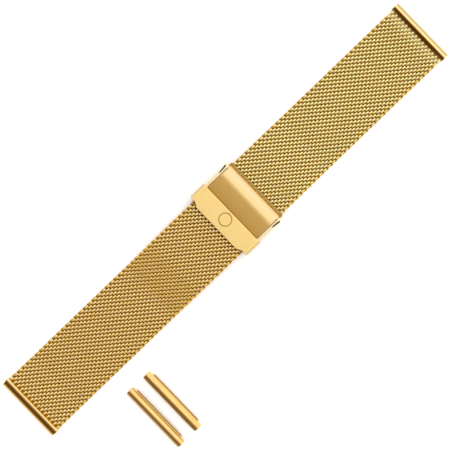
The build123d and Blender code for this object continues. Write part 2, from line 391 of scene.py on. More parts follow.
def add_node(tree, kind, inputs=None, **settings):
    """A node with its settings, whose inputs are values or other nodes' sockets."""
    made = tree.nodes.new(kind)
    for key, value in settings.items():
        setattr(made, key, value)
    for key, value in (inputs or {}).items():
        if isinstance(value, bpy.types.NodeSocket):
            tree.links.new(value, made.inputs[key])
        else:
            made.inputs[key].default_value = value
    return made


def output(tree, kind, inputs=None, socket=0, **settings):
    """One output of a new node."""
    return add_node(tree, kind, inputs, **settings).outputs[socket]


def maths(tree, operation, *values):
    """The output of a Math node on values or sockets."""
    return output(tree, "ShaderNodeMath", dict(enumerate(values)), operation=operation)


def vector_maths(tree, operation, first, second):
    """The number that a Vector Math node makes of two vectors."""
    vectors = {0: first, 1: second}
    return output(tree, "ShaderNodeVectorMath", vectors, "Value", operation=operation)


def remap(tree, value, source, target, easing="LINEAR"):
    """A value carried over from one range to another."""
    ranges = dict(zip(("From Min", "From Max", "To Min", "To Max"), (*source, *target)))
    inputs = {"Value": value, **ranges}
    return output(tree, "ShaderNodeMapRange", inputs, "Result", interpolation_type=easing)


def shares_of(tree, size, *shares):
    """A size multiplied by each share."""
    return [maths(tree, "MULTIPLY", size, share) for share in shares]


def object_place(tree):
    """Object coordinates, which stay with the piece."""
    return output(tree, "ShaderNodeTexCoord", socket="Object")


def rgba(colour):
    """A colour with full alpha."""
    return (*colour, 1.0)


def mixed_colour(tree, share, first, second):
    """Two colours mixed by the share of the second."""
    return output(tree, "ShaderNodeMixRGB", {"Fac": share, "Color1": first, "Color2": second})


SOCKET_KINDS = {int: "NodeSocketInt", float: "NodeSocketFloat", tuple: "NodeSocketVector"}


def new_group(name, kind, inputs, outputs):
    """A node group, with the sockets of its input and output nodes.

    An input is given by its default, or by its kind of socket where it has none.
    """
    tree = bpy.data.node_groups.new(name, kind)
    for label, given in inputs.items():
        bare = isinstance(given, str)
        socket_type = given if bare else SOCKET_KINDS[type(given)]
        socket = tree.interface.new_socket(name=label, in_out="INPUT", socket_type=socket_type)
        if not bare:
            socket.default_value = given
    for label, socket_type in outputs.items():
        tree.interface.new_socket(name=label, in_out="OUTPUT", socket_type=socket_type)
    return tree, tree.nodes.new("NodeGroupInput").outputs, tree.nodes.new("NodeGroupOutput").inputs


def make_tone_group(name):
    """Slow changes of colour over plated metal."""
    tree, given, out = new_group(
        name, "ShaderNodeTree",
        {
            "Bright": "NodeSocketColor", "Deep": "NodeSocketColor",
            "Patch Scale": 120.0, "Amount": 0.3,
        },
        {"Color": "NodeSocketColor"},
    )
    inputs = {"Vector": object_place(tree), "Scale": given["Patch Scale"]}
    patches = output(
        tree, "ShaderNodeTexNoise", {**inputs, "Detail": 4.0, "Roughness": 0.6}, "Fac"
    )
    soft = remap(tree, patches, (0.35, 0.7), (0.0, 1.0))
    share = maths(tree, "MULTIPLY", soft, given["Amount"])
    tree.links.new(mixed_colour(tree, share, given["Bright"], given["Deep"]), out["Color"])
    return tree


def make_grain_group(name):
    """Fine brushed lines, drawn out along the axis that is stretched least."""
    tree, given, out = new_group(
        name, "ShaderNodeTree",
        {"Stretch": (400.0, 12000.0, 400.0), "Roughness": 0.3, "Spread": 0.15},
        {"Height": "NodeSocketFloat", "Roughness": "NodeSocketFloat"},
    )
    vectors = {0: object_place(tree), 1: given["Stretch"]}
    stretched = output(tree, "ShaderNodeVectorMath", vectors, operation="MULTIPLY")
    inputs = {"Vector": stretched, "Scale": 1.0, "Detail": 3.0, "Roughness": 0.7}
    lines = output(tree, "ShaderNodeTexNoise", inputs, "Fac")
    tree.links.new(lines, out["Height"])
    swing = maths(tree, "MULTIPLY", maths(tree, "SUBTRACT", lines, 0.5), given["Spread"])
    tree.links.new(maths(tree, "ADD", swing, given["Roughness"]), out["Roughness"])
    return tree


def make_wear_group(name):
    """A mask of the outer edges, where the plate is rubbed bright."""
    tree, given, out = new_group(
        name, "ShaderNodeTree", {"Width": 0.1 * MM, "Strength": 1.0}, {"Mask": "NodeSocketFloat"}
    )
    rounded = output(tree, "ShaderNodeBevel", {"Radius": given["Width"]}, samples=4)
    surface = output(tree, "ShaderNodeNewGeometry", socket="Normal")
    turned = maths(tree, "SUBTRACT", 1.0, vector_maths(tree, "DOT_PRODUCT", rounded, surface))
    mask = maths(tree, "MULTIPLY", turned, given["Strength"])
    tree.links.new(output(tree, "ShaderNodeClamp", {"Value": mask}), out["Mask"])
    return tree


def make_shelter_group(name):
    """A mask that grows from one level along an axis to another, or both ways from a centre."""
    tree, given, out = new_group(
        name, "ShaderNodeTree",
        {
            "Axis": (0.0, 0.0, 1.0), "Centre": 0.0, "Both Ways": 0.0,
            "Full Level": 0.0, "Clear Level": 1.0 * MM, "Share": 1.0,
        },
        {"Mask": "NodeSocketFloat"},
    )
    level = vector_maths(tree, "DOT_PRODUCT", object_place(tree), given["Axis"])
    level = maths(tree, "SUBTRACT", level, given["Centre"])
    inputs = {"Factor": given["Both Ways"], "A": level, "B": maths(tree, "ABSOLUTE", level)}
    level = output(tree, "ShaderNodeMix", inputs, "Result")
    levels = given["Full Level"], given["Clear Level"]
    mask = remap(tree, level, levels, (given["Share"], 0.0), "SMOOTHSTEP")
    tree.links.new(mask, out["Mask"])
    return tree


def place_group(tree, name, make, values=None):
    """The outputs of a kept group's node in a material, with that material's values."""
    group = kept(bpy.data.node_groups, name, make)
    return add_node(tree, "ShaderNodeGroup", values, node_tree=group).outputs


def bare_material(name):
    """A new material without nodes, and its tree."""
    material = bpy.data.materials.new(name)
    material.use_nodes = True
    material.node_tree.nodes.clear()
    return material, material.node_tree


def gold_material(
    name, roughness, stretch, bump, amount=0.1, bright=None, patch_scale=150.0, grazing=GRAZING_GOLD
):
    """Plated gold: toned colour, brushed grain, rubbed edges."""
    finish = bpy.context.scene.band_finish
    material, tree = bare_material(name)
    values = {"Metallic": 1.0, "Specular Tint": rgba(grazing)}
    shader = add_node(tree, "ShaderNodeBsdfPrincipled", values)
    add_node(tree, "ShaderNodeOutputMaterial", {"Surface": shader.outputs[0]})
    colours = {"Bright": rgba(bright or finish.bright), "Deep": rgba(finish.deep)}
    patches = {"Patch Scale": patch_scale, "Amount": amount}
    lines = {"Stretch": stretch, "Roughness": roughness}
    tone = place_group(tree, "plate_tone", make_tone_group, {**colours, **patches})
    grain = place_group(tree, "brushed_grain", make_grain_group, lines)
    wear = place_group(tree, "rubbed_edges", make_wear_group)
    worn = mixed_colour(tree, wear["Mask"], tone["Color"], rgba(WORN_GOLD))
    relief = {"Height": grain["Height"], "Strength": bump, "Distance": GRAIN_DEPTH}
    tree.links.new(worn, shader.inputs["Base Color"])
    tree.links.new(grain["Roughness"], shader.inputs["Roughness"])
    tree.links.new(output(tree, "ShaderNodeBump", relief), shader.inputs["Normal"])
    return material


def gold(make):
    """The material that a function makes, kept under the function's name."""
    return kept(bpy.data.materials, make.__name__, make)


def blend_base(material, mask, tint):
    """Mixes a tint into a metal's base colour where the mask says so."""
    tree = material.node_tree
    base = tree.nodes["Principled BSDF"].inputs["Base Color"]
    tree.links.new(mixed_colour(tree, mask, base.links[0].from_socket, rgba(tint)), base)
    return material


def deepen(material, axis, full, none, share, tint=None, centre=None):
    """Tints a metal, with painted shade if no tint is given: fully up to one level of an axis and
    not at all beyond the other. With a centre, the levels are distances from it.
    """
    values = {
        "Axis": [float(name == axis) for name in "XYZ"],
        "Centre": centre or 0.0, "Both Ways": float(centre is not None),
        "Full Level": full, "Clear Level": none, "Share": share,
    }
    mask = place_group(material.node_tree, "sheltered_side", make_shelter_group, values)["Mask"]
    return blend_base(material, mask, tint or bpy.context.scene.band_finish.tarnish)


def satin_gold(name, smoothed=1.0, bright=None):
    """Satin plate, brushed along the band, with painted shade low down; smoothed scales its
    roughness.
    """
    roughness = bpy.context.scene.band_finish.satin * smoothed
    material = gold_material(name, roughness, SHEET_GRAIN, bump=0.2, bright=bright)
    # Painted shade: darker low down.
    return deepen(material, "Z", full=3.0 * MM, none=4.6 * MM, share=0.9)


def leaf_gold(name):
    """The satin of the leaf: painted shade down its ramp and on its rolled end, a painted shadow by
    the plate's edge, and painted highlight tones along its top.
    """
    crest = max(frame["nodes"]["cover_leaf"].data.vertices, key=lambda vert: vert.co.z).co.x
    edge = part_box("cover_plate")[1].x
    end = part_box("cover_leaf")[1].x
    material = satin_gold(name, smoothed=1.45)
    # Painted shade on the ramp, a painted shadow by the plate, painted highlight tones on top,
    # painted shade at the end.
    for full, none, share, tint in (
        (crest - 0.3 * MM, crest + 0.3 * MM, 1.0, RAMP_PAINTED_SHADE),
        (edge, crest, 0.9, RAMP_FOOT_PAINTED_SHADE),
        (edge + 0.15 * MM, edge + 0.5 * MM, 0.8, None),
        (crest + 1.2 * MM, crest + 0.5 * MM, 1.0, SHOULDER_PAINTED_HIGHLIGHT),
        (crest + 2.4 * MM, crest + 1.0 * MM, 1.0, LEAF_TOP_PAINTED_HIGHLIGHT),
        (end - 0.3 * MM, end - 1.2 * MM, 1.0, ROLLED_END_PAINTED_SHADE),
    ):
        deepen(material, "X", full, none, share, tint)
    return material


def clip_gold(name):
    """The satin of the short half's clip, with a painted shadow along the edge under the plate."""
    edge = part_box("clasp_base")[0].x
    material = satin_gold(name)
    return deepen(
        material, "X", full=edge - 0.2 * MM, none=edge + 0.3 * MM, share=0.95, tint=CLIP_EDGE_PAINTED_SHADOW
    )


def engraved_gold(name):
    """The satin of the cover plate, with painted shade in its ring and along the folds of its ears.
    """
    finish = bpy.context.scene.band_finish
    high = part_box("cover_plate")[1]
    material = satin_gold(name, smoothed=0.75, bright=PLATE_GOLD)
    deepen(
        material, "Y", full=high.y - 0.12 * MM, none=high.y - 0.32 * MM, share=0.9,
        tint=EAR_FOLD_PAINTED_SHADE, centre=0.0,
    )
    tree = material.node_tree
    centre = (high.x - finish.ring_inset, 0.0, high.z)
    out = vector_maths(tree, "DISTANCE", object_place(tree), centre)
    off_line = maths(tree, "SUBTRACT", out, finish.ring_diameter / 2 - RING_INSIDE)
    line = remap(tree, maths(tree, "ABSOLUTE", off_line), RING_FADE, (1.0, 0.0), "SMOOTHSTEP")
    return blend_base(material, line, finish.tarnish)


def rubbed_gold(name):
    """The satin of the base, rubbed pale along the tops of its walls, with painted shade in their
    slots.
    """
    finish = bpy.context.scene.band_finish
    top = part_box("clasp_base")[1].z
    material = satin_gold(name)
    deepen(
        material, "Z", full=top - 0.05 * MM, none=top - 0.25 * MM, share=0.9, tint=finish.rubbed
    )
    return blend_base(material, stored_value(material, "hollow"), finish.hollow)


def stored_value(material, label):
    """A value that the piece's mesh carries, read in a material."""
    return output(material.node_tree, "ShaderNodeAttribute", socket="Fac", attribute_name=label)


def polished_gold(name):
    """Polished plate with faint lines along each rod, and painted shade low down."""
    material = gold_material(name, bpy.context.scene.band_finish.polish, ROD_GRAIN, bump=0.06)
    return deepen(material, "Z", full=1.7 * MM, none=2.6 * MM, share=0.45)


def tube_axis(node):
    """How far along the band a tube's axis lies, and its radius, whatever rib it has."""
    low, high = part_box(node)
    radius = (high.z - low.z) / 2
    return low.x + radius, radius


def shade_lines(material, node, lines):
    """Paints dark and dull reflection lines along a tube beside its axis."""
    finish = bpy.context.scene.band_finish
    axis = tube_axis(node)[0]
    for offset, full, none, share, colour in lines:
        tint = getattr(finish, colour)
        deepen(material, "X", full * MM, none * MM, share, tint, axis + offset * MM)
    return material


def lug_gold(half):
    """The polish of one lug tube, with a painted dark and a painted dull reflection line along it.
    """
    node = f"{half}_lug_tube"
    return shade_lines(polished_gold(f"{half}_lug_gold"), node, TUBE_LINES[node])


def loose_bar_gold(node):
    """A softer polish than the lug tubes', for one loose bar, with painted shade low down and
    painted reflection lines.
    """
    roughness = bpy.context.scene.band_finish.satin * 1.6
    material = gold_material(
        f"{node}_gold", roughness, ROD_GRAIN, bump=0.12, amount=0.5, bright=LOOSE_BAR_GOLD
    )
    deepen(material, "Z", full=1.2 * MM, none=1.9 * MM, share=0.8)
    return shade_lines(material, node, LOOSE_BAR_LINES)


def wire_gold(name):
    """Woven wire: painted shade on its sides, in the recesses, at its fused ends and under its
    beads, and over the short half and its slope, painted light by the long lug tube, and a shade
    apart from row to row.
    """
    finish = bpy.context.scene.band_finish
    material = gold_material(
        name, finish.polish * 2.3, WIRE_GRAIN, bump=0.1, amount=0.08, bright=finish.crown,
        patch_scale=400.0, grazing=GRAZING_WIRE,
    )
    tree = material.node_tree
    row, crown = (stored_value(material, label) for label in ("row_tone", "crown"))
    flank, depth, end_shade = (
        remap(tree, crown, span, (1.0, 0.0), "SMOOTHSTEP")
        for span in (FLANK_SPAN, RECESS_SPAN, END_SHADE_SPAN)
    )
    # Painted shade on the wires' sides.
    blend_base(material, flank, finish.flank)
    # Painted shade over the short half.
    deepen(material, "X", full=-12.0 * MM, none=-4.0 * MM, share=0.3, tint=SHORT_HALF_PAINTED_SHADE)
    # Painted shade between the wires, a little more in some rows at random.
    recess = maths(tree, "ADD", depth, maths(tree, "MULTIPLY", row, ROW_SHADE))
    blend_base(material, recess, finish.recess)
    # Painted shade under the edge beads and at the fused wire ends.
    blend_base(material, end_shade, finish.line)
    # Painted shade over the short half's slope.
    bends = [Vector(JOINTS[f"short_bend_{n}"]["pos_m"]) for n in (1, 2)]
    slope = (bends[0] + bends[1]).x / 2
    deepen(material, "X", full=2.0 * MM, none=9.0 * MM, share=0.13, tint=SLOPE_PAINTED_SHADE, centre=slope)
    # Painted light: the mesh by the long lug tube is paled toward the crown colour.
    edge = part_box("long_lug_tube")[0].x
    return deepen(
        material, "X", full=edge - 0.6 * MM, none=edge - 4.0 * MM, share=0.9, tint=finish.crown
    )


def vector(tree, **parts):
    """A vector put together from its named parts."""
    return output(tree, "ShaderNodeCombineXYZ", parts)


def position(tree, axis):
    """How far along one axis each point lies."""
    spot = output(tree, "GeometryNodeInputPosition")
    return output(tree, "ShaderNodeSeparateXYZ", {0: spot}, axis)


def swept(tree, curve, radius, **scale):
    """A closed wire along a curve, its section scaled if a scale is given."""
    inputs = {"Resolution": WIRE_SIDES, "Radius": radius}
    section = output(tree, "GeometryNodeCurvePrimitiveCircle", inputs)
    if scale:
        inputs = {"Geometry": section, "Scale": vector(tree, **scale)}
        section = output(tree, "GeometryNodeTransform", inputs)
    inputs = {"Curve": curve, "Profile Curve": section, "Fill Caps": True}
    return output(tree, "GeometryNodeCurveToMesh", inputs)


def stored(tree, geometry, name, value, domain="POINT"):
    """Geometry that carries a named value for its material."""
    inputs = {"Geometry": geometry, "Name": name, "Value": value}
    return output(
        tree, "GeometryNodeStoreNamedAttribute", inputs, data_type="FLOAT", domain=domain
    )


def squared_wave(tree, wave):
    """A wave made squarer, because a rolled wire turns sharply and runs flat between its turns."""
    full = maths(tree, "POWER", maths(tree, "ABSOLUTE", wave), SQUARED)
    return maths(tree, "MULTIPLY", full, maths(tree, "SIGN", wave))


def spiral_wire(tree, given, index):
    """One rolled wire that winds from edge to edge of the band, sinking a little at its ends."""
    calc, made = partial(maths, tree), partial(output, tree)
    length, bead = given["Spiral Length"], given["Edge Bead"]
    half_length = calc("MULTIPLY", length, 0.5)
    samples = calc("MULTIPLY", given["Turns"], given["Steps per Turn"])
    inputs = {"Curve": made("GeometryNodeCurvePrimitiveLine"), "Count": calc("ADD", samples, 1.0)}
    line = made("GeometryNodeResampleCurve", inputs, mode="COUNT")

    angle = calc("DIVIDE", calc("MULTIPLY", index, math.tau), given["Steps per Turn"])
    along = calc("SUBTRACT", calc("DIVIDE", index, samples), 0.5)
    lean = calc("SINE", calc("MULTIPLY", angle, 2.0))
    finer = calc("MULTIPLY", calc("SINE", calc("MULTIPLY", angle, 4.0)), FINER_LEAN)
    lean = calc("MULTIPLY", calc("ADD", lean, finer), given["Straighten"])
    across = calc("ADD", calc("MULTIPLY", along, length), lean)
    swing, rise = (squared_wave(tree, calc(wave, angle)) for wave in ("COSINE", "SINE"))
    from_edge = calc("SUBTRACT", half_length, calc("ABSOLUTE", across))
    sunk = remap(tree, from_edge, shares_of(tree, bead, *SINK_SHARES), (SUNK_HEIGHT, 1.0))
    place = vector(
        tree,
        X=calc("MULTIPLY", swing, given["Reach"]),
        Y=across,
        Z=calc("MULTIPLY", calc("MULTIPLY", rise, sunk), given["Lift"]),
    )
    spiral = made("GeometryNodeSetPosition", {"Geometry": line, "Position": place})
    spiral = made("GeometryNodeSetCurveNormal", {"Curve": spiral}, mode="Z_UP")
    wire = swept(tree, spiral, given["Wire Radius"], X=1.0, Y=given["Rolled"], Z=1.0)

    # The crown value: the height share, lowered toward the fused ends; the material paints low
    # values as shade.
    crown = calc("DIVIDE", calc("ABSOLUTE", position(tree, "Z")), given["Crown Height"])
    inward = calc("SUBTRACT", half_length, calc("ABSOLUTE", position(tree, "Y")))
    fused = remap(tree, inward, shares_of(tree, bead, *FUSED_SHARES), (FUSED_END_SHADE, 0.0))
    return stored(tree, wire, "crown", calc("SUBTRACT", crown, fused))


def core_wires(tree, given):
    """The two straight wires that lie packed inside each row."""
    for offset in shares_of(tree, given["Core Offset"], -1.0, 1.0):
        ends = shares_of(tree, given["Spiral Length"], -CORE_REACH, CORE_REACH)
        start, end = (vector(tree, X=offset, Y=y) for y in ends)
        straight = output(tree, "GeometryNodeCurvePrimitiveLine", {"Start": start, "End": end})
        yield swept(tree, straight, given["Core Radius"])


def edge_beads(tree, given):
    """The fused wire ends at both edges of each row, with painted shade underneath and bright on
    top.
    """
    bead = given["Edge Bead"]
    ball = output(tree, "GeometryNodeMeshIcoSphere", {"Radius": bead, "Subdivisions": 2})
    heights = shares_of(tree, bead, *BEAD_SHADE_SHARES)
    tone = remap(tree, position(tree, "Z"), heights, BEAD_SHADE_LEVELS)
    for edge in shares_of(tree, given["Spiral Length"], -0.5, 0.5):
        inputs = {
            "Geometry": ball,
            "Translation": vector(tree, Y=edge, Z=maths(tree, "MULTIPLY", bead, BEAD_LIFT)),
            "Scale": (1.0, BEAD_WIDTH, 1.0),
            "Rotation": (0.0, 0.0, BEAD_TURN),
        }
        yield stored(tree, output(tree, "GeometryNodeTransform", inputs), "crown", tone)


def make_woven_rows(name):
    """Rows of wire spirals along a path, each half a turn out of step with the last."""
    tree, given, out = new_group(
        name, "GeometryNodeTree",
        {
            "Path": "NodeSocketGeometry", "Rows": 20, "First Row": 0, "Last Row": 19,
            "Bend Radius": 14.0 * MM, "Turns": 14.5, "Spiral Length": 21.5 * MM,
            "Reach": 0.74 * MM, "Lift": 0.43 * MM, "Straighten": 0.11 * MM,
            "Wire Radius": 0.37 * MM, "Rolled": 0.55, "Crown Height": 0.64 * MM,
            "Core Radius": 0.25 * MM, "Core Offset": 0.24 * MM, "Edge Bead": 0.36 * MM,
            "Steps per Turn": STEPS_PER_TURN, "Seed": 4, "Material": "NodeSocketMaterial",
        },
        {"Mesh": "NodeSocketGeometry"},
    )
    calc, made = partial(maths, tree), partial(output, tree)
    index = made("GeometryNodeInputIndex")
    join = add_node(tree, "GeometryNodeJoinGeometry")
    parts = spiral_wire(tree, given, index), *core_wires(tree, given), *edge_beads(tree, given)
    for part in parts:
        tree.links.new(part, join.inputs[0])

    inputs = {"Curve": given["Path"], "Radius": given["Bend Radius"], "Limit Radius": True}
    path = made("GeometryNodeFilletCurve", {**inputs, "Count": FILLET_STEPS}, mode="POLY")
    inputs = {"Curve": path, "Count": given["Rows"]}
    path = made("GeometryNodeResampleCurve", inputs, mode="COUNT")
    inputs = {"Vector": made("GeometryNodeInputTangent")}
    facing = made("FunctionNodeAlignRotationToVector", inputs, axis="X")
    half_turn = calc("MULTIPLY", calc("MODULO", index, 2.0), math.pi)
    inputs = {"Rotation": facing, "Rotate By": vector(tree, Y=half_turn)}
    turned = made("FunctionNodeRotateRotation", inputs, rotation_space="LOCAL")
    inside = [
        made("FunctionNodeCompare", {2: index, 3: given[label]}, data_type="INT", operation=test)
        for label, test in (("First Row", "GREATER_EQUAL"), ("Last Row", "LESS_EQUAL"))
    ]
    chosen = made("FunctionNodeBooleanMath", dict(enumerate(inside)), operation="AND")
    inputs = {"Points": path, "Selection": chosen, "Instance": join.outputs[0], "Rotation": turned}
    rows = made("GeometryNodeInstanceOnPoints", inputs)
    inputs = {"Seed": given["Seed"], "ID": index}
    shade = add_node(tree, "FunctionNodeRandomValue", inputs, data_type="FLOAT")
    tone = next(socket for socket in shade.outputs if socket.type == "VALUE")
    rows = stored(tree, rows, "row_tone", tone, "INSTANCE")
    solid = made("GeometryNodeRealizeInstances", {"Geometry": rows})
    smooth = made("GeometryNodeSetShadeSmooth", {"Geometry": solid})
    inputs = {"Geometry": smooth, "Material": given["Material"]}
    tree.links.new(made("GeometryNodeSetMaterial", inputs), out["Mesh"])
    return tree


def set_inputs(modifier, values):
    """Gives a geometry modifier its values by the identifiers of its named inputs."""
    for item in modifier.node_group.interface.items_tree:
        if item.item_type == "SOCKET" and item.in_out == "INPUT" and item.name in values:
            modifier[item.identifier] = values[item.name]


class Half:
    """One half of the band as a path from its -X end to its +X end."""

    def __init__(self, name):
        weave = bpy.context.scene.band_weave
        self.name = name
        bends = [Vector(JOINTS[f"{name}_bend_{n + 1}"]["pos_m"]) for n in range(BENDS_PER_HALF)]
        tube_low, tube_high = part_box(f"{name}_lug_tube")
        tube, tube_radius = (tube_low + tube_high) / 2, (tube_high.x - tube_low.x) / 2
        low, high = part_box(f"{name}_mesh_1")
        inset = weave.reach + weave.wire_diameter / 2
        outward = (tube - bends[-1]).normalized()
        tube_end = tube - outward * (tube_radius + weave.reach - weave.wire_diameter / 2)
        clip_x = low.x + inset if name == "long" else high.x - inset
        self.points = [Vector((clip_x, 0, bends[0].z))] + bends + [tube_end]
        self.bodies = [f"{name}_{n + 1}" for n in range(BENDS_PER_HALF + 1)]
        self.nodes = [f"{name}_mesh_{n + 1}" for n in range(BENDS_PER_HALF + 1)]
        if name == "short":
            for row in (self.points, self.bodies, self.nodes):
                row.reverse()
        steps = [(b - a).length for a, b in zip(self.points, self.points[1:])]
        self.stations = [sum(steps[:n]) for n in range(len(self.points))]
        self.rows = round(self.stations[-1] / weave.row_pitch) + 1

    def place(self, station):
        """The point of the path at a distance from its start."""
        for n in range(len(self.points) - 1):
            if station <= self.stations[n + 1] or n == len(self.points) - 2:
                span = self.stations[n + 1] - self.stations[n]
                share = (station - self.stations[n]) / span
                return self.points[n].lerp(self.points[n + 1], share)

    def borders(self):
        """Stations where one woven piece ends and the next begins."""
        weave = bpy.context.scene.band_weave
        bends = self.stations[1:-1]
        middles = [(a + b) / 2 for a, b in zip(bends, bends[1:])]
        first = weave.clasp_reach if self.name == "long" else weave.bend_reach
        return [bends[0] - first] + middles + [bends[-1] + weave.bend_reach]

    def row_range(self, start, end):
        """First and last row whose centre lies from start up to end."""
        step = self.stations[-1] / (self.rows - 1)
        return math.ceil(start / step), math.ceil(end / step) - 1


def path_curve(name, points):
    """A plain poly curve through the points."""
    curve = bpy.data.curves.new(name, "CURVE")
    curve.dimensions = "3D"
    spline = curve.splines.new("POLY")
    spline.points.add(len(points) - 1)
    for target, point in zip(spline.points, points):
        target.co = (*point, 1.0)
    return curve


def woven_piece(name, half, first, last):
    """The rows from first to last of one half, as a plain mesh object."""
    weave = bpy.context.scene.band_weave
    low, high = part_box(half.nodes[0])
    flat_low, flat_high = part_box(f"{half.name}_mesh_{FLAT_STRETCH}")
    half_height = (flat_high.z - flat_low.z) / 2
    wire_radius = weave.wire_diameter / 2
    carrier = link_object(name + "_path", path_curve(name + "_path", half.points))
    modifier = carrier.modifiers.new("woven_rows", "NODES")
    modifier.node_group = kept(bpy.data.node_groups, "woven_rows", make_woven_rows)
    sizes = {
        "Rows": half.rows, "First Row": first, "Last Row": last,
        "Bend Radius": weave.bend_radius, "Turns": weave.turns,
        "Spiral Length": high.y - low.y - weave.edge_bead * 2 * BEAD_WIDTH,
        "Reach": weave.reach, "Straighten": weave.straighten,
        "Lift": half_height - wire_radius * weave.rolled * math.cos(math.pi / WIRE_SIDES),
        "Wire Radius": wire_radius, "Rolled": weave.rolled, "Crown Height": half_height,
        "Core Radius": weave.core_wire / 2, "Core Offset": weave.row_pitch / 4,
        "Edge Bead": weave.edge_bead, "Seed": weave.seed, "Material": gold(wire_gold),
    }
    set_inputs(modifier, sizes)
    mesh = plain_mesh(carrier)
    mesh.name = name
    bpy.data.objects.remove(carrier)
    if not mesh.polygons:
        raise RuntimeError(f"{name} has no rows")
    return link_object(name, mesh)


def weave_half(name):
    """Every woven piece of one half: the end pieces ride on the half's end bodies, the others stay
    where they are made.
    """
    half = Half(name)
    borders = [-1.0] + half.borders() + [half.stations[-1] + 1.0]
    for n in range(len(borders) - 1):
        first, last = half.row_range(borders[n], borders[n + 1])
        first, last = max(first, 0), min(last, half.rows - 1)
        piece = woven_piece(f"woven_{name}_{n + 1}", half, first, last)
        if n == 0 or n == len(borders) - 2:
            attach(piece, half.bodies[0 if n == 0 else -1])
        else:
            start, end = half.place(borders[n]), half.place(borders[n + 1])
            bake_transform(piece)
            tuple(start)
            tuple(end)
        if n < len(half.nodes):
            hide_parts(half.nodes[n])


def soften(work, reach, segments, off):
    """Turns the edges where off is next to nothing into soft bends."""
    edges = [edge for edge in work.edges if all(off(vert.co) < reach / 1000 for vert in edge.verts)]
    bmesh.ops.bevel(work, geom=edges, offset=reach, segments=segments, affect="EDGES", profile=0.5)


def round_crest(work):
    """Turns the sharp crest along the top of the leaf into a soft bend."""
    top = max(vert.co.z for vert in work.verts)
    soften(work, bpy.context.scene.band_finish.crest_round, 6, lambda spot: abs(spot.z - top))


def round_folds(work):
    """Turns the plate's two upper side edges into soft folds."""
    top = max(vert.co.z for vert in work.verts)
    side = max(vert.co.y for vert in work.verts)
    reach = bpy.context.scene.band_finish.fold_round
    soften(work, reach, 5, lambda spot: abs(spot.z - top) + abs(abs(spot.y) - side))


def cut_flare_slots(work):
    """Cuts the slim slot that the photograph shows in the flared top of each side wall."""
    top = max(vert.co.z for vert in work.verts)
    count = len(SLOT_OUTLINE)
    cutter = bmesh.new()
    for side in (-1, 1):
        lower, upper = (
            [cutter.verts.new((x * MM, side * y * MM, top + rise)) for x, y in SLOT_OUTLINE]
            for rise in SLOT_HEIGHTS
        )
        cutter.faces.new(lower)
        cutter.faces.new(upper)
        for n in range(count):
            m = (n + 1) % count
            cutter.faces.new((lower[n], lower[m], upper[m], upper[n]))
    bmesh.ops.recalc_face_normals(cutter, faces=cutter.faces)
    meshes = [bpy.data.meshes.new(label) for label in ("uncut_base", "slot_cutter")]
    for shape, mesh in zip((work, cutter), meshes):
        shape.to_mesh(mesh)
    cutter.free()
    base, knife = (link_object(mesh.name, mesh) for mesh in meshes)
    slots = base.modifiers.new("slots", "BOOLEAN")
    slots.operation = "DIFFERENCE"
    slots.solver = "EXACT"
    slots.object = knife
    cut = plain_mesh(base)
    work.clear()
    work.from_mesh(cut)
    mark_hollows(work, top - 0.1 * MM)
    for mesh in (*meshes, cut):
        bpy.data.meshes.remove(mesh)


def mark_hollows(work, level):
    """Marks the slots' faces that reach below the level, where the material paints shade."""
    hollow = work.faces.layers.float.new("hollow")
    spots = {(round(x, 3), round(y, 3)) for x, y in SLOT_OUTLINE}
    for face in work.faces:
        ends = {(round(v.co.x / MM, 3), round(abs(v.co.y) / MM, 3)) for v in face.verts}
        deep = min(vert.co.z for vert in face.verts) < level
        face[hollow] = float(ends <= spots and deep)


def rounded_copy(node, ending, material, shape=None):
    """A copy of a CAD node with its sheet edges rounded, which stands for the node."""
    name = node + ending
    mesh = frame["nodes"][node].data.copy()
    work = bmesh.new()
    work.from_mesh(mesh)
    bmesh.ops.remove_doubles(work, verts=work.verts, dist=WELD)
    bmesh.ops.dissolve_limit(work, angle_limit=FLAT_ANGLE, verts=work.verts, edges=work.edges)
    bmesh.ops.recalc_face_normals(work, faces=work.faces)
    if shape:
        shape(work)
    for face in work.faces:
        face.smooth = True
    work.to_mesh(mesh)
    work.free()
    mesh.materials.clear()
    mesh.materials.append(material)
    piece = link_object(name, mesh)
    bevel = piece.modifiers.new("rounded_edges", "BEVEL")
    bevel.width = bpy.context.scene.band_finish.edge_round
    bevel.segments = 2
    bevel.limit_method = "ANGLE"
    bevel.angle_limit = SHEET_EDGE_ANGLE
    flat = piece.modifiers.new("flat_faces", "WEIGHTED_NORMAL")
    flat.mode = "FACE_AREA"
    flat.weight = 100
    rounded = plain_mesh(piece)
    piece.modifiers.clear()
    piece.data = rounded
    rounded.name = name
    bpy.data.meshes.remove(mesh)
    stand_for(piece, node)


def lathe(work, centre, profile):
    """A closed turned shape about an axis along Y, from a closed profile of (radius, y)."""
    rings = []
    for step in range(TUBE_STEPS):
        angle = math.tau * step / TUBE_STEPS
        spots = [Vector((r * math.cos(angle), y, r * math.sin(angle))) for r, y in profile]
        rings.append([work.verts.new(centre + spot) for spot in spots])
    for step, here in enumerate(rings):
        there = rings[(step + 1) % TUBE_STEPS]
        for n in range(len(profile)):
            m = (n + 1) % len(profile)
            work.faces.new((here[n], here[m], there[m], there[n]))
    bmesh.ops.recalc_face_normals(work, faces=work.faces)


def tube_profile(radius, bore, half_length, edge):
    """The closed profile of a bored tube with rounded outer edges and chamfered bore mouths."""
    angles = [math.radians(30 * step) for step in range(4)]
    corner = [
        (radius - edge + edge * math.cos(angle), half_length - edge + edge * math.sin(angle))
        for angle in angles
    ]
    end = corner + [(bore + edge, half_length), (bore, half_length - edge)]
    return end + [(r, -y) for r, y in reversed(end)]


